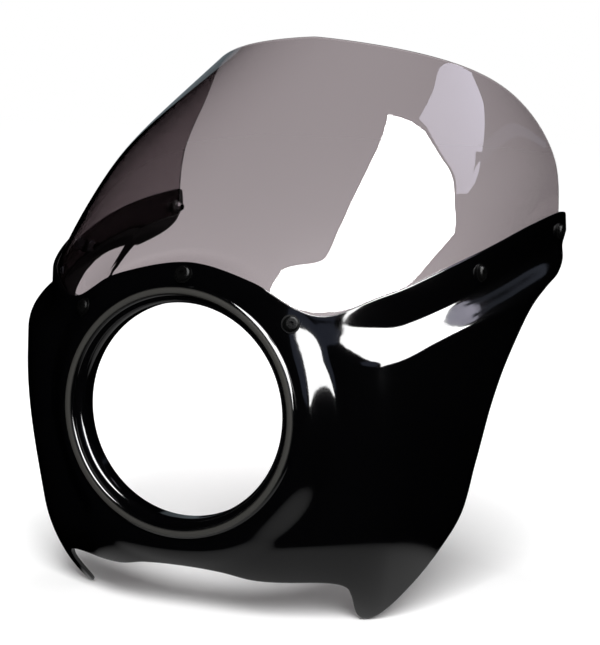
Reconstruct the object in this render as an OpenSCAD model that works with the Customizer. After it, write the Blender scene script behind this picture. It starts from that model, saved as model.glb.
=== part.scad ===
// Quarter fairing for a motorcycle: a moulded shell round the headlight,
// a smoked windshield behind its top flange, and seven bolt stacks.
// X runs across (right as seen from the front), Y runs to the rear, Z is up.
// The origin is the centre of the straight bore in the headlight tunnel.

/* [Plan section] */
// Half width at the top flange
flange_half_w = 188; // [180:1:196]
// Depth from the nose to the widest section
plan_depth = 370; // [350:1:390]
// Squareness of the plan section, 2 is an ellipse
plan_square = 3.1; // [2.6:0.1:3.6]
// Half width down at the feet
foot_half_w = 157; // [150:1:166]

/* [Shell] */
// Wall thickness of the moulded shell
wall = 3; // [2:0.1:3.6]
// How far the sides stand out below the shoulder
shoulder_h = 22; // [12:1:26]
// Height of the curved shoulder along the sides
shoulder_w = 24; // [20:1:32]
// Height of the curved shoulder at its front end
shoulder_front_w = 28; // [24:1:36]
// Height of the flat band that carries the screws
band_w = 26; // [23:1:30]
// How far the chin runs back under the headlight
chin_back = 17; // [10:1:22]

/* [Outline heights] */
// Top edge over the headlight
crest_z = 111.5; // [111:0.5:116]
// Lowest point of the top edge
valley_z = 78; // [74:1:84]
// Top edge at the wing tips
tip_z = 143; // [138:1:148]
// Bottom edge under the headlight
arch_z = -119; // [-122:0.5:-117]
// Points of the feet
foot_z = -164; // [-172:1:-158]

/* [Headlight tunnel] */
// Radius of the tunnel bore that the headlight passes through
bore_r = 81; // [78:0.25:82]
// Length of the straight bore
bore_len = 10; // [6:0.5:14]
// Radius of the bead crest
bead_r = 91; // [90:0.25:92]
// Width of the bead
bead_w = 9; // [7:0.25:9.5]
// Height of the bead above the rim land
bead_h = 5; // [3:0.25:7]
// Depth of the tapered mouth in front of the bore
mouth_len = 8; // [5:0.5:12]

/* [Windshield] */
// Thickness of the sheet
sheet = 3; // [2:0.1:4]
// Gap between the shell and the sheet
sheet_gap = 0.4; // [0.3:0.05:0.6]
// Overlap of the sheet behind the top flange
overlap = 25; // [22:0.5:28]
// Height of the crown
crown_z = 288; // [270:1:300]
// Sweep of the rear edge round each side, in degrees
screen_sweep = 89; // [88:0.5:90]

/* [Fasteners] */
// Screw shank diameter
screw_d = 5; // [4:0.5:5]
// Screw head diameter
head_d = 11.5; // [10:0.5:12]
// Screw head height
head_h = 3; // [2.4:0.1:3.6]
// Key socket width across flats
socket_w = 3.2; // [2.5:0.1:4]
// Outer washer diameter
washer_d = 14; // [13:0.25:14]
// Outer washer thickness
washer_t = 1; // [0.8:0.1:1.4]
// Rubber washer diameter
rubber_d = 12; // [11:0.5:13]
// Rubber washer thickness
rubber_t = 1.6; // [1.2:0.1:2.4]
// Nut width across flats
nut_w = 8; // [7.5:0.25:9]
// Nut height, with its locking collar
nut_h = 5; // [4:0.25:6]
// Play of the screw in the holes of shell and sheet
hole_play = 1; // [0.6:0.1:1.4]
// Gap between stacked pieces
seat_gap = 0.15; // [0.1:0.05:0.3]
// Gap between the curved sheet and its flat rubber washers
rubber_gap = 0.45; // [0.4:0.05:0.6]
// Depth of the middle and tip screws below the top edge
screw_drop = 15.5; // [13:0.5:17]

/* [Hidden] */

// Rim land: the flat ring of shell round the headlight
rim_y = -mouth_len - bore_len / 2;
rim_r = bead_r + bead_w / 2;
rim_blend = 26;
axis_y = rim_y + plan_depth;
tunnel_end = bore_len / 2;

// Sides and chin; plan angles where the shoulder and the flat band set in, and
// over how many degrees each of them grows
shoulder_b = [14, 12];
band_b = [13, 14];
side_rise = 190;
chin_start = -90;
chin_len = 35;

// Dome of the windshield: sections shrink to one apex, from a brow that dips
// with the top edge at its valleys; soft is the height of a rounded bend
apex_z = 366;
brow_z = 95;
brow_fade = 60;
brow_power = [1.1, 1.18];
brow_soft = 2;
side_z = 181;
side_power = 1.3;
side_soft = 24;
dome_square = 1.9;
dome_square_z = [90, 280];

// Top edge of one side: plan angle and height
valley_b = 16;
tip_b = 93;
top_side = [
    [valley_b - 7.5, mix(valley_z, crest_z, 0.67)],
    [valley_b, valley_z],
    [valley_b + 8, mix(valley_z, tip_z, 0.23)],
    [valley_b + 22, mix(valley_z, tip_z, 0.585)],
    [tip_b - 33, mix(valley_z, tip_z, 0.86)],
    [tip_b - 5, tip_z],
    [tip_b, mix(valley_z, tip_z, 0.954)]
];

// Stations of one side: plan angle on the top edge, then plan angle and height
// on the lower edge, which runs along the arch, round the foot, up the waist
// and out along the wing. Heights are shares of the leg and of the whole side
rear_b = 40.6;
foot_b = 22;
function on_leg(share) = mix(foot_z, arch_z, share);
function on_side(share) = mix(foot_z, tip_z, share);
stations_side = [
    [4, 5, on_leg(0.96)],
    [8, 9, on_leg(0.845)],
    [12, 13.5, on_leg(0.822)],
    [15.5, foot_b - 4, on_leg(0.827)],
    [17.5, foot_b - 1.7, on_leg(0.756)],
    [19, foot_b - 0.8, on_leg(0.556)],
    [20.4, foot_b, on_leg(0.156)],
    [22, foot_b + 1.4, foot_z],
    [24.5, foot_b + 3.6, on_side(0.016)],
    [28.5, foot_b + 7.5, on_side(0.078)],
    [33, rear_b - 5.6, on_side(0.169)],
    [37.5, rear_b - 1.3, on_side(0.261)],
    [41, rear_b, on_side(0.388)],
    [45, rear_b + 2, on_side(0.537)],
    [50, rear_b + 6, on_side(0.651)],
    [57, rear_b + 13.4, on_side(0.761)],
    [66, tip_b - 30, on_side(0.813)],
    [77, tip_b - 17, on_side(0.844)],
    [87, tip_b - 6, on_side(0.883)],
    [tip_b, tip_b + 1, on_side(0.948)]
];
// Facets between two stations, and rows of facets from top to bottom
station_steps = 2;
skin_rows = 16;

// Screw places: plan angle of the inner, middle and tip pairs, and the depth
// of the centre and inner screws below the top edge
screw_b = [13.2, 41, 86];
crest_drop = 8.9;
inner_drop = 12.5;
screw_names = ["centre", "left_inner", "right_inner", "left_middle",
               "right_middle", "left_tip", "right_tip"];

function smooth(x) = let (t = max(0, min(1, x))) t * t * (3 - 2 * t);
function mix(a, b, t) = a + (b - a) * t;

// Catmull-Rom curve through the points, u counts points
function spline(p, u) =
    let (
        last = len(p) - 1,
        i = min(floor(u), last - 1),
        t = u - i,
        a = p[max(i - 1, 0)], b = p[i], c = p[i + 1], d = p[min(i + 2, last)]
    )
    0.5 * (2 * b + (c - a) * t + (2 * a - 5 * b + 4 * c - d) * t * t
        + (3 * b - a - 3 * c + d) * t * t * t);

// One side with its mirror image: first entries change sign, centre between
function both_sides(side, centre, signs) =
    let (last = len(side) - 1)
    concat([for (i = [last:-1:0]) [for (k = [0:len(signs) - 1]) side[i][k] * signs[k]]],
           [centre], side);

// Height of the top edge over a plan angle
top_line = both_sides(top_side, [0, crest_z], [-1, 1]);
top_middle = len(top_side);
top_fine = [for (i = [0:10 * top_middle]) spline(top_line, top_middle + i / 10)];
function top_z(b) = lookup(abs(b), top_fine);

// Half width, depth and squareness of the plan section at a height
function fall(z, start, power, soft) =
    let (rise = (z - start + norm([z - start, soft])) / 2)
    pow(1 - pow(min(0.999, rise / (apex_z - start)), power), 1 / power);
function half_w(z) =
    mix(foot_half_w, flange_half_w, smooth((z - foot_z) / side_rise))
    * fall(z, side_z, side_power, side_soft);
function depth(b, z) =
    let (
        brow = min(brow_z, top_z(b)),
        dip = (brow_z - brow) / (brow_z - valley_z)
    )
    plan_depth * mix(fall(z, brow, mix(brow_power[0], brow_power[1], dip), brow_soft),
                     fall(z, brow_z, brow_power[0], brow_soft), smooth((z - brow_z) / brow_fade))
    - chin_back * pow(max(0, chin_start - z) / chin_len, 2);
function square(z) =
    mix(plan_square, dome_square,
        smooth((z - dome_square_z[0]) / (dome_square_z[1] - dome_square_z[0])));

// Shoulder: the sides stand out below a flat band along the top edge, less so
// towards the wing tips
function shoulder(b, z) =
    shoulder_h * smooth((abs(b) - shoulder_b[0]) / shoulder_b[1])
    * (1 - 0.5 * smooth((abs(b) - 45) / 45))
    * smooth((top_z(b) - z - band_w * smooth((abs(b) - band_b[0]) / band_b[1]))
        / mix(shoulder_front_w, shoulder_w, smooth((abs(b) - 18) / 14)));

// Point of the skin: a superellipse about the plan axis, flattened on to the
// rim land near the headlight; out is the extra reach from the axis
function skin(b, z, out) =
    let (
        n = square(z),
        r = pow(pow(abs(sin(b)) / half_w(z), n) + pow(abs(cos(b)) / depth(b, z), n), -1 / n) + out,
        x = r * sin(b),
        y = axis_y - r * cos(b),
        land = smooth((norm([x, z]) - rim_r) / rim_blend)
    )
    [x, mix(rim_y, y, land), z];
function shell_skin(b, z) = skin(b, z, shoulder(b, z));
function screen_skin(b, z) = skin(b, z, 0);

// Outward unit vector of a skin, from its neighbours in angle and height;
// reach is the shoulder function or none
function shell_normal(b, z) = let (d = 0.3)
    outward(shell_skin(b + d, z) - shell_skin(b - d, z), shell_skin(b, z + d) - shell_skin(b, z - d));
function screen_normal(b, z) = let (d = 0.3)
    outward(screen_skin(b + d, z) - screen_skin(b - d, z),
            screen_skin(b, z + d) - screen_skin(b, z - d));
function outward(along, up) = let (v = cross(along, up)) v / norm(v);

// Closed sheet between two grids of points, both [row][column]
module sheet_solid(front, back) {
    rows = len(front);
    cols = len(front[0]);
    count = rows * cols;
    points = [for (grid = [front, back]) for (row = grid) for (p = row) p];
    faces = [
        for (i = [0:rows - 2]) for (j = [0:cols - 2])
            let (a = i * cols + j, b = a + 1, c = a + cols, d = c + 1)
            each [[a, b, d], [a, d, c],
                  [a + count, d + count, b + count], [a + count, c + count, d + count]],
        for (j = [0:cols - 2])
            let (a = j, b = j + 1, c = a + (rows - 1) * cols, d = c + 1)
            each [[a, a + count, b + count], [a, b + count, b],
                  [c, d + count, c + count], [c, d, d + count]],
        for (i = [0:rows - 2])
            let (a = i * cols, c = a + cols, b = c - 1, d = b + cols)
            each [[a, c + count, a + count], [a, c, c + count],
                  [b, b + count, d + count], [b, d + count, d]]
    ];
    polyhedron(points, faces, convexity = 10);
}

// Places on the shell, [plan angle, height], rows from the top edge down
stations = both_sides(stations_side, [0, 0, arch_z], [-1, -1, 1]);
station_line = [for (i = [0:(len(stations) - 1) * station_steps])
    spline(stations, i / station_steps)];
function shell_place(q, t) =
    let (s = pow(t, 1.25)) [mix(q[0], q[1], s), mix(top_z(q[0]), q[2], s)];

module shell_sheet() {
    places = [for (i = [0:skin_rows]) [for (q = station_line) shell_place(q, i / skin_rows)]];
    front = [for (row = places) [for (p = row) shell_skin(p[0], p[1])]];
    back = [for (i = [0:skin_rows]) [for (j = [0:len(station_line) - 1])
        front[i][j] - wall * shell_normal(places[i][j][0], places[i][j][1])]];
    difference() {
        sheet_solid(front, back);
        rotate([90, 0, 0]) cylinder(h = plan_depth / 4, r = inlet_r, center = true, $fn = 96);
    }
}

// Radius at which the moulded sheet runs into the bead
inlet_r = bead_r - 1;

// Bead, tapered mouth and straight bore, turned about the headlight axis
module headlight_ring() {
    land_back = rim_y + wall + 0.6;
    mouth_r = bead_r - bead_w / 2;
    bore_start = -bore_len / 2;
    profile = concat(
        [for (a = [0:20:180])
            [bead_r + bead_w / 2 * cos(a), rim_y - bead_h * sin(a)]],
        [for (a = [18:18:90])
            [mix(bore_r, mouth_r, 1 - sin(a)), bore_start - mouth_len * cos(a)]],
        [[bore_r, tunnel_end], [bore_r + wall, tunnel_end],
         [bore_r + wall, land_back + 2], [bore_r + wall + 2, land_back],
         [inlet_r + 2, land_back], [inlet_r + 3, rim_y + wall / 2],
         [rim_r + 0.2, rim_y + wall / 2]]
    );
    rotate([-90, 0, 0]) rotate_extrude($fn = 96)
        polygon([for (p = profile) [p[0], p[1]]]);
}

// Screw place i: plan angle and height, 0 centre, then left and right pairs
function screw_angle(i) = i == 0 ? 0 : (i % 2 == 1 ? -1 : 1) * screw_b[ceil(i / 2) - 1];
function screw_height(i) =
    top_z(screw_angle(i)) - (i == 0 ? crest_drop : i < 3 ? inner_drop : screw_drop);

// Puts its children on the flange at a screw place, their +Z pointing out
module at_screw(i) {
    b = screw_angle(i);
    z = screw_height(i);
    n = screen_normal(b, z);
    translate(screen_skin(b, z))
        rotate([0, acos(n[2]), atan2(n[1], n[0])]) children();
}

module screw_holes() {
    for (i = [0:6]) at_screw(i)
        cylinder(h = 10 * wall, d = screw_d + hole_play, center = true, $fn = 24);
}

// Clears a flat seat for the washers: outside the shell or inside the sheet
module washer_seats(at, side, across) {
    for (i = [0:6]) at_screw(i)
        translate([0, 0, side > 0 ? at : at - 4 * wall])
            cylinder(h = 4 * wall, d = across + 2 * seat_gap, $fn = 32);
}

module fairing_shell() {
    color("#101012") difference() {
        union() {
            shell_sheet();
            headlight_ring();
        }
        screw_holes();
        washer_seats(seat_gap / 2, 1, washer_d);
    }
}

// Windshield: columns run from under the flange up to the rear edge
screen_cols = 60;
screen_rows = 14;
edge_turn = 89.4;
edge_power = [1.62, 0.28];
function screen_edge(t) =
    [screen_sweep * sign(t) * pow(abs(sin(edge_turn * t)), edge_power[0]),
     mix(tip_z - overlap, crown_z, pow(cos(edge_turn * t), edge_power[1]))];
function low_edge(t) =
    let (b = screen_sweep * t)
    [b, top_z(b) - mix(inner_drop + 6.5, overlap, smooth((abs(b) - valley_b) / 14))];
function screen_place(t, s) =
    let (a = low_edge(t), c = screen_edge(t)) [mix(a[0], c[0], s), mix(a[1], c[1], s)];

module windshield() {
    places = [for (i = [0:screen_rows]) [for (j = [0:screen_cols])
        let (u = 2 * j / screen_cols - 1, t = sign(u) * (1 - pow(1 - abs(u), 1.5)))
        screen_place(t, i / screen_rows)]];
    function sunk(depth) = [for (row = places) [for (p = row)
        screen_skin(p[0], p[1]) - depth * screen_normal(p[0], p[1])]];
    color([0.35, 0.32, 0.33, 0.5]) difference() {
        sheet_solid(sunk(wall + sheet_gap + sheet), sunk(wall + sheet_gap));
        screw_holes();
        washer_seats(rubber_at + rubber_t + seat_gap / 2, -1, rubber_d);
    }
}

// Bolt stack, measured along the flange normal from the outer face of the shell
washer_at = seat_gap;
head_at = washer_at + washer_t + seat_gap;
rubber_at = -(wall + sheet_gap + sheet + rubber_gap + rubber_t);
nut_at = rubber_at - seat_gap - nut_h;
screw_end = nut_at - 1.5;

module screw(i) {
    color("#1a1a1c") at_screw(i) difference() {
        union() {
            translate([0, 0, screw_end]) cylinder(h = head_at - screw_end, d = screw_d, $fn = 32);
            translate([0, 0, head_at]) rotate_extrude($fn = 32)
                polygon(concat(
                    [[0, 0], [head_d / 2, 0]],
                    [for (a = [0:15:75])
                        [mix(socket_w, head_d / 2, cos(a)), mix(0.6, head_h, sin(a))]],
                    [[0, head_h]]
                ));
        }
        translate([0, 0, head_at + head_h - 1.8])
            cylinder(h = 4, d = socket_w / cos(30), $fn = 6);
    }
}

module flat_ring(i, at, thick, outer_d) {
    at_screw(i) translate([0, 0, at]) difference() {
        cylinder(h = thick, d = outer_d, $fn = 32);
        translate([0, 0, -1]) cylinder(h = thick + 2, d = screw_d + 2 * seat_gap, $fn = 32);
    }
}

module washer(i) { color("#232325") flat_ring(i, washer_at, washer_t, washer_d); }
module rubber(i) { color("#18181a") flat_ring(i, rubber_at, rubber_t, rubber_d); }

module nut(i) {
    color("silver") at_screw(i) translate([0, 0, nut_at]) difference() {
        union() {
            translate([0, 0, nut_h * 0.3])
                cylinder(h = nut_h * 0.7, d = nut_w / cos(30), $fn = 6);
            cylinder(h = nut_h * 0.4, d = nut_w * 0.92, $fn = 40);
        }
        translate([0, 0, -1]) cylinder(h = nut_h + 2, d = screw_d + 2 * seat_gap, $fn = 32);
    }
}

fairing_shell();
windshield();
for (i = [0:6]) {
    screw(i);
    washer(i);
    rubber(i);
    nut(i);
}
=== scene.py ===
import bpy
import numpy as np
from mathutils import Matrix


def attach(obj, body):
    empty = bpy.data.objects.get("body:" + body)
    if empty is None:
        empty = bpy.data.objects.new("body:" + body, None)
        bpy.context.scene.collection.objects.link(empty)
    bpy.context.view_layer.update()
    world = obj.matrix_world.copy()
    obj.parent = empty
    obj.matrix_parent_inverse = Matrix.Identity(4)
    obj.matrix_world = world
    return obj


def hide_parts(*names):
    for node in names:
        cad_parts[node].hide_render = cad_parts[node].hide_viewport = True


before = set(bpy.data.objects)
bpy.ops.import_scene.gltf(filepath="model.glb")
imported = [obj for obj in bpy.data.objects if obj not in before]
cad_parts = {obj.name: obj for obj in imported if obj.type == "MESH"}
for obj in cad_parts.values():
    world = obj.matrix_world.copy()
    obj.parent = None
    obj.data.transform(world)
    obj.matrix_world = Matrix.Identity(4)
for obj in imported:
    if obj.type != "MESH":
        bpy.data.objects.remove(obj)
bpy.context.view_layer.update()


mm = 0.001
scene = bpy.context.scene
scene.view_settings.view_transform = "Standard"
print("frame loaded")

# the photograph's viewpoint
viewpoint = {
    "azimuth": 22.1,          # degrees round the object
    "elevation": 6.8,         # degrees down
    "roll": -2.1,
    "bead": (-92, 67, 1479),  # bead centre seen from the lens: right, down, away, in mm
    "beadY": -18,             # where the bead's front lies in the part's frame
    "focal": 2000,            # pixels
    "longSide": 645,
}


# The lens axes are the azimuth and elevation turned axes, rolled about the view;
# the place is the bead centre less the offset carried back through those axes.
def makeCamera(v):
    a, e, r = np.radians([v["azimuth"], v["elevation"], v["roll"]])
    forward = np.array([-np.sin(a) * np.cos(e), np.cos(a) * np.cos(e), -np.sin(e)])
    right = np.array([np.cos(a), np.sin(a), 0])
    down = np.cross(forward, right)
    axes = np.array([right * np.cos(r) + down * np.sin(r), down * np.cos(r) - right * np.sin(r), forward])
    place = np.array([0, v["beadY"], 0]) - axes.T @ np.array(v["bead"])
    turn = np.eye(4)
    turn[:3, 0], turn[:3, 1], turn[:3, 2], turn[:3, 3] = axes[0], -axes[1], -axes[2], place * mm
    lens = bpy.data.cameras.new("photoCamera")
    lens.sensor_fit = "AUTO"
    lens.sensor_width = 36
    lens.lens = v["focal"] * 36 / v["longSide"]
    lens.clip_end = 60
    eye = bpy.data.objects.new("photoCamera", lens)
    scene.collection.objects.link(eye)
    eye.matrix_world = Matrix(turn.tolist())
    scene.camera = eye


makeCamera(viewpoint)
print("camera placed")

# the shell's form: lengths in mm, names in B are plan angles in degrees, in Z heights
form = {
    "flangeHalfW": 188, "planDepth": 370, "planSquare": 3.1, "footHalfW": 157,
    "wall": 3, "shoulderH": 22, "shoulderW": 24, "shoulderFrontW": 28,
    "shoulderB": 14, "shoulderRise": 12,
    "frontWB": 18, "frontWRise": 14, "shoulderDrop": 0.5, "dropB": 45, "dropRise": 45,
    "bandW": 26, "bandB": 13, "bandRise": 14, "chinBack": 17,
    "crestZ": 111.5, "valleyZ": 78, "tipZ": 143, "archZ": -119, "footZ": -164,
    "boreR": 81, "boreLen": 10, "beadR": 91, "beadW": 9, "beadH": 5, "mouthLen": 8,
    "rimBlend": 26, "sideRise": 190, "chinStart": -90, "chinLen": 35,
    "valleyB": 16, "tipB": 93, "rearB": 40.6, "footB": 22,
    "edgeRound": 0.9, "chamfer": 0.5, "landGap": 0.6,
}
form["rimY"] = -form["mouthLen"] - form["boreLen"] / 2
form["rimR"] = form["beadR"] + form["beadW"] / 2
form["axisY"] = form["rimY"] + form["planDepth"]

# the windshield's form, and how both skins shrink towards its apex
dome = {
    "sheet": 3, "sheetGap": 0.4, "overlap": 25, "crownZ": 288, "sweep": 89,
    "apexZ": 366, "browZ": 95, "browFade": 60, "browPower": (1.1, 1.18), "browSoft": 2,
    "sideZ": 181, "sidePower": 1.3, "sideSoft": 24, "square": 1.9, "squareZ": (90, 280),
    "lowDrop": 19, "lowRise": 14, "edgeTurn": 89.4, "edgePower": (1.62, 0.28), "edgeRound": 1.1,
}


# eased step from 0 to 1: 3t^2 - 2t^3
def eased(t):
    t = np.clip(t, 0, 1)
    return t * t * (3 - 2 * t)


# a + (b - a) t
def mixed(a, b, t):
    return a + (b - a) * t


# Catmull-Rom curve through rows of points, u counts points
def curveThrough(points, u):
    last = len(points) - 1
    i = np.minimum(np.floor(u).astype(int), last - 1)
    t = (u - i)[:, None]
    a, b = points[np.maximum(i - 1, 0)], points[i]
    c, d = points[i + 1], points[np.minimum(i + 2, last)]
    return 0.5 * (2 * b + (c - a) * t + (2 * a - 5 * b + 4 * c - d) * t ** 2
                  + (3 * b - a - 3 * c + d) * t ** 3)


# one side and its mirror image, with the middle point between them
def bothSides(side, middle, signs):
    side = np.array(side, float)
    return np.vstack([side[::-1] * signs, [middle], side])


# the shell's top edge as a curve of plan angle and height, through stations of one side
def topEdge(f):
    side = [(f["valleyB"] - 7.5, f["crestZ"] - 11.05), (f["valleyB"], f["valleyZ"]),
            (f["valleyB"] + 8, f["valleyZ"] + 15), (f["valleyB"] + 22, f["tipZ"] - 27),
            (f["tipB"] - 33, f["tipZ"] - 9), (f["tipB"] - 5, f["tipZ"]), (f["tipB"], f["tipZ"] - 3)]
    line = bothSides(side, (0, f["crestZ"]), (-1, 1))
    return curveThrough(line, np.linspace(len(side), 2 * len(side), 10 * len(side) + 1))


topCurve = topEdge(form)


# height of the top edge over a plan angle
def topZ(b):
    return np.interp(np.abs(b), topCurve[:, 0], topCurve[:, 1])


# how much a section has shrunk at height z: (1 - x^p)^(1/p), where x runs from the
# start to the apex and sets in softly, as half of (h + square root of h^2 + soft^2)
def fall(z, start, power, soft):
    rise = (z - start + np.hypot(z - start, soft)) / 2
    x = np.minimum(rise / (dome["apexZ"] - start), 0.999)
    return (1 - x ** power) ** (1 / power)


# how far the sides stand out below a flat band: height times an eased step over the
# plan angle, less towards the tips, times an eased step down from the band
def shoulder(f, b, z):
    b = np.abs(b)
    band = f["bandW"] * eased((b - f["bandB"]) / f["bandRise"])
    width = mixed(f["shoulderFrontW"], f["shoulderW"], eased((b - f["frontWB"]) / f["frontWRise"]))
    return (f["shoulderH"] * eased((b - f["shoulderB"]) / f["shoulderRise"])
            * (1 - f["shoulderDrop"] * eased((b - f["dropB"]) / f["dropRise"]))
            * eased((topZ(b) - z - band) / width))


# superellipse about the plan axis, r = (|sin b / w|^n + |cos b / d|^n)^(-1/n),
# flattened on to the land round the headlight
def skin(f, b, z, reach):
    a = np.radians(b)
    halfW = mixed(f["footHalfW"], f["flangeHalfW"], eased((z - f["footZ"]) / f["sideRise"]))
    halfW = halfW * fall(z, dome["sideZ"], dome["sidePower"], dome["sideSoft"])
    brow = np.minimum(dome["browZ"], topZ(b))
    dip = (dome["browZ"] - brow) / (dome["browZ"] - f["valleyZ"])
    low = fall(z, brow, mixed(*dome["browPower"], dip), dome["browSoft"])
    high = fall(z, dome["browZ"], dome["browPower"][0], dome["browSoft"])
    depth = (f["planDepth"] * mixed(low, high, eased((z - dome["browZ"]) / dome["browFade"]))
             - f["chinBack"] * (np.maximum(0, f["chinStart"] - z) / f["chinLen"]) ** 2)
    low, high = dome["squareZ"]
    n = mixed(f["planSquare"], dome["square"], eased((z - low) / (high - low)))
    r = ((np.abs(np.sin(a)) / halfW) ** n + (np.abs(np.cos(a)) / depth) ** n) ** (-1 / n) + reach
    x, y = r * np.sin(a), f["axisY"] - r * np.cos(a)
    land = eased((np.hypot(x, z) - f["rimR"]) / f["rimBlend"])
    return np.stack([x, mixed(f["rimY"], y, land), z], -1)


# the outer skin of the shell, and the skin that the sheet follows
def shellSkin(b, z):
    return skin(form, b, z, shoulder(form, b, z))


def screenSkin(b, z):
    return skin(form, b, z, 0)


# v / |v|
def unit(v):
    return v / np.linalg.norm(v, axis=-1, keepdims=True)


# outward normal: cross product of the steps in angle and height
def outward(surface, b, z, d=0.3):
    return unit(np.cross(surface(b + d, z) - surface(b - d, z), surface(b, z + d) - surface(b, z - d)))


# quads of a grid of rows x columns whose first vertex has the given number
def gridQuads(rows, cols, first=0):
    i, j = np.meshgrid(np.arange(rows - 1), np.arange(cols - 1), indexing="ij")
    a = (i * cols + j).ravel() + first
    return np.stack([a, a + 1, a + cols + 1, a + cols], -1)


# vertex numbers round the border of a grid, in the order that the border is walked
def borderLoop(rows, cols):
    ids = np.arange(rows * cols).reshape(rows, cols)
    return np.concatenate([ids[0, :-1], ids[:-1, -1], ids[-1, :0:-1], ids[:0:-1, 0]])


# A closed sheet: front grid, back grid one thickness in, and a rounded border made
# of two quarter arcs, centre + radius (out sin t + normal cos t).
def sheetMesh(front, normal, thick, rounding, keep=None, steps=5):
    rows, cols = front.shape[:2]
    loop = borderLoop(rows, cols)
    flat, flatN = front.reshape(-1, 3).copy(), normal.reshape(-1, 3)
    ring, ringN = flat[loop], flatN[loop]
    along = unit(np.roll(ring, -1, 0) - np.roll(ring, 1, 0))
    out = unit(np.cross(along, ringN))
    inner = front[1:-1, 1:-1].reshape(-1, 3).mean(0)
    if np.sum(out * (ring - inner)) < 0:
        out = -out
    flat[loop] = ring - rounding * out
    back = flat - thick * flatN
    turns = np.linspace(0, np.pi / 2, steps)[1:]
    arcs = [ring - rounding * out + rounding * (out * np.sin(t) + ringN * (np.cos(t) - 1)) for t in turns]
    arcs += [ring - rounding * out - thick * ringN
             + rounding * (out * np.sin(t) - ringN * (np.cos(t) - 1)) for t in turns[::-1]]
    count, size = rows * cols, len(loop)
    verts = np.vstack([flat, back] + arcs)
    quads = gridQuads(rows, cols)
    if keep is not None:
        quads = quads[keep.ravel()]
    chain = [loop] + [2 * count + k * size + np.arange(size) for k in range(len(arcs))] + [loop + count]
    strips = [np.stack([a, b, np.roll(b, -1), np.roll(a, -1)], -1) for a, b in zip(chain, chain[1:])]
    faces = [quads, (quads + count)[:, ::-1]] + strips
    if keep is not None:
        faces.append(holeWalls(keep, rows, cols, count))
    faces = np.vstack(faces)
    first = verts[faces[0]]
    turned = np.cross(first[1] - first[0], first[2] - first[1]) @ flatN[faces[0][0]]
    return verts, faces if turned > 0 else faces[:, ::-1]


# walls between front and back along the border of the kept cells
def holeWalls(keep, rows, cols, count):
    ids = np.arange(rows * cols).reshape(rows, cols)
    walls = []
    up = keep[1:] & ~keep[:-1]
    down = keep[:-1] & ~keep[1:]
    right = keep[:, :-1] & ~keep[:, 1:]
    left = keep[:, 1:] & ~keep[:, :-1]
    inRow, inCol = ids[1:-1], ids[:, 1:-1]
    for mask, a, b in ((up, inRow[:, 1:], inRow[:, :-1]), (down, inRow[:, :-1], inRow[:, 1:]),
                       (right, inCol[1:], inCol[:-1]), (left, inCol[:-1], inCol[1:])):
        a, b = a[mask], b[mask]
        walls.append(np.stack([a, b, b + count, a + count], -1))
    return np.vstack(walls)


# profile of radius and depth turned about the headlight axis, as a closed loop
def turnedMesh(profile, around=288):
    t = np.linspace(0, 2 * np.pi, around, endpoint=False)
    r, y = profile[:, 0][:, None], profile[:, 1][:, None]
    points = np.stack([r * np.cos(t), y + 0 * t, r * np.sin(t)], -1).reshape(-1, 3)
    ids = np.arange(len(points)).reshape(len(profile), around)
    nextRow, nextCol = np.roll(ids, -1, 0), np.roll(ids, -1, 1)
    both = np.roll(nextRow, -1, 1)
    return points, np.stack([ids, nextRow, both, nextCol], -1).reshape(-1, 4)


# vertices in mm and quads become an object that rides on the part
def makePiece(name, verts, quads, node, creaseAngle):
    mesh = bpy.data.meshes.new(name)
    mesh.vertices.add(len(verts))
    mesh.vertices.foreach_set("co", (verts * mm).astype(np.float32).ravel())
    mesh.loops.add(quads.size)
    mesh.loops.foreach_set("vertex_index", quads.astype(np.int32).ravel())
    mesh.polygons.add(len(quads))
    mesh.polygons.foreach_set("loop_start", np.arange(0, quads.size, 4, dtype=np.int32))
    mesh.update(calc_edges=True)
    mesh.validate()
    mesh.shade_smooth()
    mesh.set_sharp_from_angle(angle=np.radians(creaseAngle))
    piece = bpy.data.objects.new(name, mesh)
    scene.collection.objects.link(piece)
    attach(piece, "root")
    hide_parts(node)
    return piece


shellMake = {"cols": 420, "rows": 100, "rowPower": 1.25, "holeR": 90.3, "creaseAngle": 35}


# columns run from the top edge to the lower edge, which goes through fixed stations of
# (plan angle at the top, plan angle below, height); rows gather at the top, (i / n)^power
def shellGrid(f, m):
    rear, foot, tip = f["rearB"], f["footB"], f["tipB"]
    arch, low, top = f["archZ"], f["footZ"], f["tipZ"]
    side = [(4, 5, arch - 1.8), (8, 9, arch - 7), (12, 13.5, arch - 8), (15.5, foot - 4, arch - 7.8),
            (17.5, foot - 1.7, arch - 11), (19, foot - 0.8, low + 25), (20.4, foot, low + 7),
            (22, foot + 1.4, low), (24.5, foot + 3.6, low + 5), (28.5, foot + 7.5, low + 24),
            (33, rear - 5.6, low + 52), (37.5, rear - 1.3, low + 80), (41, rear, low + 119),
            (45, rear + 2, top - 142), (50, rear + 6, top - 107), (57, rear + 13.4, top - 73.5),
            (66, tip - 30, top - 57.5), (77, tip - 17, top - 48), (87, tip - 6, top - 36),
            (tip, tip + 1, top - 16)]
    line = bothSides(side, (0, 0, arch), (-1, -1, 1))
    q = curveThrough(line, np.linspace(0, len(line) - 1, m["cols"] + 1))
    s = (np.linspace(0, 1, m["rows"] + 1) ** m["rowPower"])[:, None]
    return mixed(q[:, 0], q[:, 1], s), mixed(topZ(q[:, 0]), q[:, 2], s)


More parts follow.
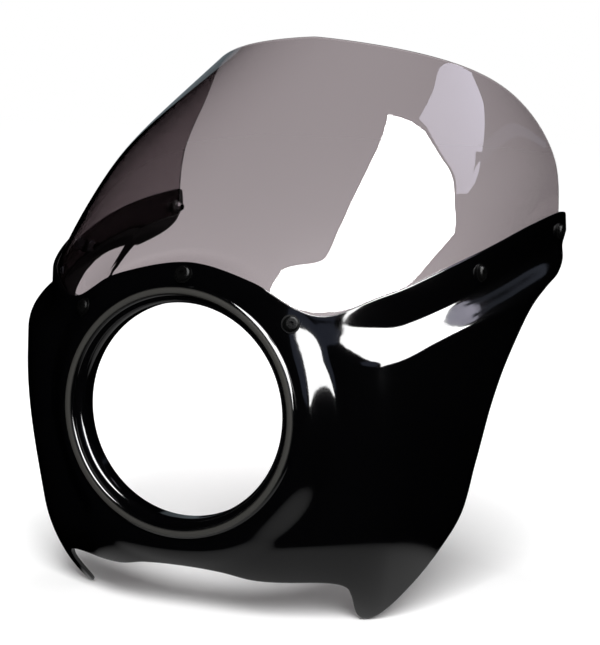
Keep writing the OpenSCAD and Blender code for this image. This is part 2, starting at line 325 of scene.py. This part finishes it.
# bead arc, tapered mouth, straight bore and the land behind the sheet
def ringProfile(f):
    t = np.linspace(0, np.pi, 25)
    bead = np.stack([f["beadR"] + f["beadW"] / 2 * np.cos(t), f["rimY"] - f["beadH"] * np.sin(t)], -1)
    t = np.linspace(0, np.pi / 2, 15)[1:]
    mouthR, boreStart = f["beadR"] - f["beadW"] / 2, -f["boreLen"] / 2
    mouth = np.stack([mixed(f["boreR"], mouthR, 1 - np.sin(t)), boreStart - f["mouthLen"] * np.cos(t)], -1)
    end, wall, bore, cut = f["boreLen"] / 2, f["wall"], f["boreR"], f["chamfer"]
    land, middle = f["rimY"] + wall + f["landGap"], f["rimY"] + wall / 2
    rest = [(bore, end - cut), (bore + cut, end), (bore + wall - cut, end), (bore + wall, end - cut),
            (bore + wall, land + 2), (bore + wall + 2, land), (f["beadR"] + 1, land),
            (f["beadR"] + 2, middle), (f["rimR"] + 0.2, middle)]
    return np.vstack([bead, mouth, rest])


b, z = shellGrid(form, shellMake)
front = shellSkin(b, z)
reach = np.hypot(front[..., 0], front[..., 2])
cells = np.maximum(np.maximum(reach[1:, 1:], reach[1:, :-1]), np.maximum(reach[:-1, 1:], reach[:-1, :-1]))
sheetVerts, sheetQuads = sheetMesh(front, outward(shellSkin, b, z), form["wall"], form["edgeRound"],
                                   keep=cells > shellMake["holeR"])
ringVerts, ringQuads = turnedMesh(ringProfile(form))
shellPiece = makePiece("mouldedShell", np.vstack([sheetVerts, ringVerts]),
                       np.vstack([sheetQuads, ringQuads + len(sheetVerts)]),
                       "fairing_shell", shellMake["creaseAngle"])
insideShare = np.zeros(len(shellPiece.data.vertices), np.float32)
insideShare[front[..., 0].size:2 * front[..., 0].size] = 1
shellPiece.data.attributes.new("inside", "FLOAT", "POINT").data.foreach_set("value", insideShare)
print("shell made:", len(shellPiece.data.polygons), "faces")

screenMake = {"cols": 340, "rows": 120, "colPower": 1.5, "creaseAngle": 60}


# Columns run from the hidden lower edge up to the free rear edge, and gather at the
# tips, 1 - (1 - |u|)^power. The rear edge follows sin^p and cos^q of a quarter turn.
def screenGrid(d, m):
    u = np.linspace(-1, 1, m["cols"] + 1)
    t = np.sign(u) * (1 - (1 - np.abs(u)) ** m["colPower"])
    turn = np.radians(d["edgeTurn"] * t)
    lowB = d["sweep"] * t
    lowStep = eased((np.abs(lowB) - form["valleyB"]) / d["lowRise"])
    lowZ = topZ(lowB) - mixed(d["lowDrop"], d["overlap"], lowStep)
    edgeB = d["sweep"] * np.sign(t) * np.abs(np.sin(turn)) ** d["edgePower"][0]
    edgeZ = mixed(form["tipZ"] - d["overlap"], d["crownZ"], np.cos(turn) ** d["edgePower"][1])
    s = np.linspace(0, 1, m["rows"] + 1)[:, None]
    return mixed(lowB, edgeB, s), mixed(lowZ, edgeZ, s)


b, z = screenGrid(dome, screenMake)
normal = outward(screenSkin, b, z)
front = screenSkin(b, z) - (form["wall"] + dome["sheetGap"]) * normal
screenVerts, screenQuads = sheetMesh(front, normal, dome["sheet"], dome["edgeRound"])
screenPiece = makePiece("smokedScreen", screenVerts, screenQuads, "windshield",
                        screenMake["creaseAngle"])
print("windshield made:", len(screenPiece.data.polygons), "faces")


# a socket that takes part in sums, each sum adding one Math node
class Wire:
    def __init__(self, maker, socket):
        self.maker, self.socket = maker, socket

    def sum(self, operation, first, second):
        return self.maker.add("ShaderNodeMath", {"operation": operation}, {0: first, 1: second})

    def __add__(self, other):
        return self.sum("ADD", self, other)

    def __sub__(self, other):
        return self.sum("SUBTRACT", self, other)

    def __rsub__(self, other):
        return self.sum("SUBTRACT", other, self)

    def __mul__(self, other):
        return self.sum("MULTIPLY", self, other)

    def __pow__(self, other):
        return self.sum("POWER", self, other)

    __radd__, __rmul__ = __add__, __mul__

    def named(self, name):
        return Wire(self.maker, self.socket.node.outputs[name])


# builds one node tree: add() makes any node, from its settings and its sockets
class TreeMaker:
    def __init__(self, tree):
        self.tree = tree
        tree.nodes.clear()

    def add(self, kind, settings=None, sockets=None):
        node = self.tree.nodes.new(kind)
        for key, value in (settings or {}).items():
            setattr(node, key, value)
        for key, value in (sockets or {}).items():
            target = node.inputs[key]
            if isinstance(value, Wire):
                self.tree.links.new(value.socket, target)
            else:
                target.default_value = value
        return Wire(self, node.outputs[0]) if node.outputs else node

    # colour from first to second by a share
    def mixed(self, share, first, second):
        mix = self.add("ShaderNodeMix", {"data_type": "RGBA"}, {0: share, 6: first, 7: second})
        return Wire(self, mix.socket.node.outputs[2])


# an empty material and the maker of its tree
def newMaterial(name):
    material = bpy.data.materials.new(name)
    material.use_nodes = True
    return material, TreeMaker(material.node_tree)


# opaque colour with equal red, green and blue
def grey(v):
    return (v, v, v, 1)


# lengths in metres, scales in features per metre
gloss = {
    "colour": (0.0004, 0.0004, 0.0005, 1), "ior": 1.5,
    "roughness": 0.075, "insideRoughness": 0.5, "roughSpread": 0.03, "hazeScale": 24,
    "peelScale": 260, "peelDepth": 0.00002, "waveScale": 9, "waveDepth": 0.0003,
    # the crest colour is a painted highlight: a lighter colour standing in for the sheen on the bead's
    # crest
    "crestHighlightColour": (0.018, 0.0175, 0.016, 1), "crestRoughness": 0.3,
    "crestFrom": 0.0170, "crestFade": 0.0008,
}


# black gloss moulding: faint long waves and fine peel in the surface, and a line on
# the crest of the bead, (-y - start) / fade, made rougher (satin) and lighter in colour as a painted
# highlight; the inner faces are rougher
def glossBlack(g):
    material, m = newMaterial("glossBlackMoulding")
    place = m.add("ShaderNodeTexCoord").named("Object")
    peel = m.add("ShaderNodeTexNoise", {}, {"Vector": place, "Scale": g["peelScale"], "Detail": 2})
    wave = m.add("ShaderNodeTexNoise", {}, {"Vector": place, "Scale": g["waveScale"], "Detail": 1})
    haze = m.add("ShaderNodeTexNoise", {}, {"Vector": place, "Scale": g["hazeScale"], "Detail": 3})
    inside = m.add("ShaderNodeAttribute", {"attribute_name": "inside"}).named("Fac")
    long = m.add("ShaderNodeBump", {}, {"Height": wave, "Distance": g["waveDepth"], "Strength": 1.0})
    fine = m.add("ShaderNodeBump", {}, {"Height": peel, "Distance": g["peelDepth"], "Strength": 1.0,
                                        "Normal": long})
    depth = m.add("ShaderNodeSeparateXYZ", {}, {0: place}).named("Y")
    crestSatinAndHighlight = m.add("ShaderNodeClamp", {}, {0: (depth + g["crestFrom"]) * (-1 / g["crestFade"])})
    # painted highlight: the bead's crest is mixed to a lighter colour where its sheen shows; the roughness
    # rise on it is real satin
    colour = m.mixed(crestSatinAndHighlight, g["colour"], g["crestHighlightColour"])
    rough = (haze * g["roughSpread"] + crestSatinAndHighlight * g["crestRoughness"] + inside * g["insideRoughness"]
             + g["roughness"])
    shader = m.add("ShaderNodeBsdfPrincipled", {}, {
        "Base Color": colour, "Roughness": rough, "IOR": g["ior"], "Normal": fine})
    m.add("ShaderNodeOutputMaterial", {}, {"Surface": shader})
    return material


smoke = {
    "roughness": 0.012, "ior": 1.49, "absorbed": (0.17, 0.065, 0.095, 1), "density": 350,
    "waveScale": 7, "waveDepth": 0.0004, "letThrough": 0.7,
}


# clear sheet with smoke in its thickness, and a share of lamp light let through for
# the shadows
def smokedSheet(s):
    material, m = newMaterial("smokedSheet")
    place = m.add("ShaderNodeTexCoord").named("Object")
    wave = m.add("ShaderNodeTexNoise", {}, {"Vector": place, "Scale": s["waveScale"], "Detail": 1})
    bump = m.add("ShaderNodeBump", {}, {"Height": wave, "Distance": s["waveDepth"], "Strength": 1.0})
    shader = m.add("ShaderNodeBsdfPrincipled", {}, {
        "Base Color": grey(1.0), "Roughness": s["roughness"], "IOR": s["ior"],
        "Transmission Weight": 1.0, "Normal": bump})
    clear = m.add("ShaderNodeBsdfTransparent", {}, {"Color": grey(s["letThrough"])})
    shadow = m.add("ShaderNodeLightPath").named("Is Shadow Ray")
    both = m.add("ShaderNodeMixShader", {}, {0: shadow, 1: shader, 2: clear})
    inside = m.add("ShaderNodeVolumeAbsorption", {}, {"Color": s["absorbed"], "Density": s["density"]})
    m.add("ShaderNodeOutputMaterial", {}, {"Surface": both, "Volume": inside})
    return material


# hard small parts: roughness varies by a fifth of fine noise about its value
def fastenerFinish(name, colour, roughness, metallic, shine, grain=900, depth=0.00003):
    material, m = newMaterial(name)
    place = m.add("ShaderNodeTexCoord").named("Object")
    noise = m.add("ShaderNodeTexNoise", {}, {"Vector": place, "Scale": grain, "Detail": 4})
    bump = m.add("ShaderNodeBump", {}, {"Height": noise, "Distance": depth, "Strength": 1.0})
    shader = m.add("ShaderNodeBsdfPrincipled", {}, {
        "Base Color": colour, "Roughness": noise * 0.2 + (roughness - 0.1), "Metallic": metallic,
        "Specular IOR Level": shine, "Normal": bump})
    m.add("ShaderNodeOutputMaterial", {}, {"Surface": shader})
    return material


shellPiece.data.materials.append(glossBlack(gloss))
screenPiece.data.materials.append(smokedSheet(smoke))
# colour, roughness, metal share and strength of reflection, by start of the node's name
finishes = {
    "screw_": fastenerFinish("blackScrew", (0.001, 0.001, 0.001, 1), 0.27, 0.0, 0.05),
    "washer_": fastenerFinish("nylonWasher", (0.001, 0.001, 0.001, 1), 0.34, 0.0, 0.04),
    "rubber_": fastenerFinish("rubberWasher", (0.014, 0.014, 0.014, 1), 0.75, 0.0, 0.3),
    "nut_": fastenerFinish("platedNut", (0.55, 0.55, 0.57, 1), 0.3, 1.0, 0.5),
}
for name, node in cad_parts.items():
    for start, material in finishes.items():
        if name.startswith(start):
            node.data.materials.clear()
            node.data.materials.append(material)
print("materials made")

# the studio, in metres
studio = {
    "floorZ": -0.1645, "floorSize": 14, "floorColour": 0.80,
    # the floor's own glow rises away from the part
    "floorGlow": 0.015, "glowFrom": 0.22, "glowFade": 0.45, "farGlow": 0.80,
    # the patch of floor that the gloss sees: brightness, middle, half width, fading power
    "mirrorGlow": 0.42, "mirrorMiddle": (0.06, 0.10), "mirrorHalfW": 0.20, "mirrorPower": 12,
    "worldLight": 0.25,
    # lamps: name, place, aimed at, width, height, watts
    "fills": [
        ("frontKey", (0.75, -1.70, 1.05), (0, 0.10, 0), 1.2, 0.6, 110),
        ("topFill", (0.0, 0.25, 2.4), (0, 0.25, 0), 1.2, 1.2, 10),
    ],
    # cards that only the gloss sees, as patches of one sphere round the part
    "cardMiddle": (0, 0.15, 0.08), "cardReach": 0.9,
    # name, brightness, tint, middle and corners as seen from above: right, rear
    "cards": [
        ("whiteCard", 26, (1.0, 1.0, 1.0), (0.45, -0.08), (
            (0.092, 0.12), (0.092, 0.184), (0.143, 0.221), (0.175, 0.239), (0.264, 0.247), (0.417, 0.264),
            (0.486, 0.286), (0.583, 0.345), (0.617, 0.25), (0.694, 0.111), (0.79, 0.03), (0.86, -0.10),
            (0.88, -0.256), (0.90, -0.40), (0.93, -0.556), (0.91, -0.605), (0.80, -0.52), (0.70, -0.46),
            (0.60, -0.42), (0.46, -0.44), (0.36, -0.40), (0.25, -0.30), (0.19, -0.233), (0.13, -0.078),
            (0.098, 0.028))),
        ("lilacCard", 3.4, (0.86, 0.84, 1.0), (0.30, 0.30), (
            (0.203, 0.41), (0.236, 0.42), (0.333, 0.375), (0.45, 0.358), (0.475, 0.333), (0.44, 0.276),
            (0.264, 0.254), (0.175, 0.247), (0.153, 0.237))),
        ("blueCard", 0.15, (0.70, 0.78, 1.0), (0.30, 0.46), (
            (0.26, 0.70), (0.285, 0.70), (0.30, 0.55), (0.33, 0.44), (0.40, 0.34), (0.30, 0.36),
            (0.272, 0.528))),
        ("slateCard", 0.40, (0.75, 0.85, 1.2), (0.62, -0.64), (
            (0.44, -0.46), (0.45, -0.68), (0.60, -0.84), (0.84, -0.70), (0.70, -0.50), (0.60, -0.44))),
        ("limbCard", 0.22, (0.80, 0.95, 1.05), (-0.44, 0.66), (
            (-0.44, 0.98), (-0.56, 0.92), (-0.68, 0.83), (-0.38, 0.46), (-0.32, 0.51), (-0.24, 0.55))),
    ],
}


# A matt floor that glows for the eye and through clear sheet, more so away from the
# part. Gloss sees only a patch of it, 1 - (distance / half width)^power.
def makeFloor(s):
    size = s["floorSize"]
    mesh = bpy.data.meshes.new("studioFloor")
    mesh.from_pydata([(-size, -size, s["floorZ"]), (size, -size, s["floorZ"]),
                      (size, size, s["floorZ"]), (-size, size, s["floorZ"])], [], [(0, 1, 2, 3)])
    floor = bpy.data.objects.new("studioFloor", mesh)
    scene.collection.objects.link(floor)
    material, m = newMaterial("paleFloor")
    path = m.add("ShaderNodeLightPath")
    place = m.add("ShaderNodeSeparateXYZ", {}, {0: m.add("ShaderNodeTexCoord").named("Object")})
    (middleX, middleY), halfW = s["mirrorMiddle"], s["mirrorHalfW"]
    x = (place.named("X") - middleX) * (1 / halfW)
    y = (place.named("Y") - middleY) * (1 / halfW)
    square = x ** 2 + y ** 2
    patch = m.add("ShaderNodeClamp", {}, {0: 1 - square ** (s["mirrorPower"] / 2)})
    rise = (square ** 0.5 * halfW - s["glowFrom"]) * (1 / s["glowFade"])
    away = m.add("ShaderNodeClamp", {}, {0: rise})
    matt = m.add("ShaderNodeBsdfDiffuse", {}, {"Color": grey(s["floorColour"])})
    seen = path.named("Is Camera Ray") + path.named("Is Transmission Ray")
    glow = m.add("ShaderNodeEmission", {}, {
        "Color": m.mixed(away, grey(s["floorGlow"]), grey(s["farGlow"])), "Strength": seen})
    lit = m.add("ShaderNodeAddShader", {}, {0: matt, 1: glow})
    mirrored = m.add("ShaderNodeEmission", {}, {"Color": grey(1.0), "Strength": patch * s["mirrorGlow"]})
    byGloss = path.named("Is Glossy Ray") * (1 - path.named("Is Transmission Ray"))
    both = m.add("ShaderNodeMixShader", {}, {0: byGloss, 1: lit, 2: mirrored})
    m.add("ShaderNodeOutputMaterial", {}, {"Surface": both})
    mesh.materials.append(material)


# White for the eye and straight through clear sheet, dimmer as light on matt faces:
# eye + through (1 - glossy bounces - matt bounces) + matt x share.
def makeWorld(s):
    world = bpy.data.worlds.new("studioWorld")
    scene.world = world
    world.use_nodes = True
    m = TreeMaker(world.node_tree)
    path = m.add("ShaderNodeLightPath")
    straight = 1 - path.named("Glossy Depth") - path.named("Diffuse Depth")
    straight = m.add("ShaderNodeClamp", {}, {0: straight})
    seen = path.named("Is Camera Ray") + path.named("Is Transmission Ray") * straight
    strength = seen + path.named("Is Diffuse Ray") * s["worldLight"]
    light = m.add("ShaderNodeBackground", {}, {"Color": grey(1.0), "Strength": strength})
    m.add("ShaderNodeOutputWorld", {}, {"Surface": light})


# an area lamp whose axis runs from the aim to its place, unseen by eye and gloss
def makeFill(name, place, aim, width, height, watts):
    data = bpy.data.lights.new(name, "AREA")
    data.shape = "RECTANGLE"
    data.size, data.size_y, data.energy = width, height, watts
    lamp = bpy.data.objects.new(name, data)
    scene.collection.objects.link(lamp)
    away = unit(np.array(place) - np.array(aim))
    side = unit(np.cross((0, 1, 0), away))
    turn = np.eye(4)
    turn[:3, 0], turn[:3, 1], turn[:3, 2], turn[:3, 3] = side, np.cross(away, side), away, place
    lamp.matrix_world = Matrix(turn.tolist())
    lamp.visible_camera = lamp.visible_transmission = lamp.visible_glossy = False


# A card is a patch of a sphere. A corner (u, v) is the stereographic image of its
# direction, (2u, 2v, 1 - u^2 - v^2) / (1 + u^2 + v^2); rings run in to its middle.
def makeCard(s, name, glow, tint, middle, corners, rings=10):
    middle, corners = np.array(middle), np.array(corners)
    share = np.linspace(1, 0.001, rings)[:, None, None]
    u, v = np.moveaxis(middle + share * (corners - middle), -1, 0)
    square = u * u + v * v
    ways = np.stack([2 * u, 2 * v, 1 - square], -1) / (1 + square)[..., None]
    points = (np.array(s["cardMiddle"]) + s["cardReach"] * ways).reshape(-1, 3)
    ids = np.arange(len(points)).reshape(rings, -1)
    quads = np.stack([ids[:-1], np.roll(ids[:-1], -1, 1), np.roll(ids[1:], -1, 1), ids[1:]], -1)
    mesh = bpy.data.meshes.new(name)
    mesh.from_pydata(points.tolist(), [], quads.reshape(-1, 4).tolist())
    card = bpy.data.objects.new(name, mesh)
    scene.collection.objects.link(card)
    material, m = newMaterial(name)
    light = m.add("ShaderNodeEmission", {}, {"Color": (*tint, 1), "Strength": glow})
    m.add("ShaderNodeOutputMaterial", {}, {"Surface": light})
    mesh.materials.append(material)
    card.visible_camera = card.visible_transmission = card.visible_diffuse = card.visible_shadow = False


# floor, world, lamps and cards
def makeStudio(s):
    makeFloor(s)
    makeWorld(s)
    for fill in s["fills"]:
        makeFill(*fill)
    for card in s["cards"]:
        makeCard(s, *card)


makeStudio(studio)
print("studio lit")
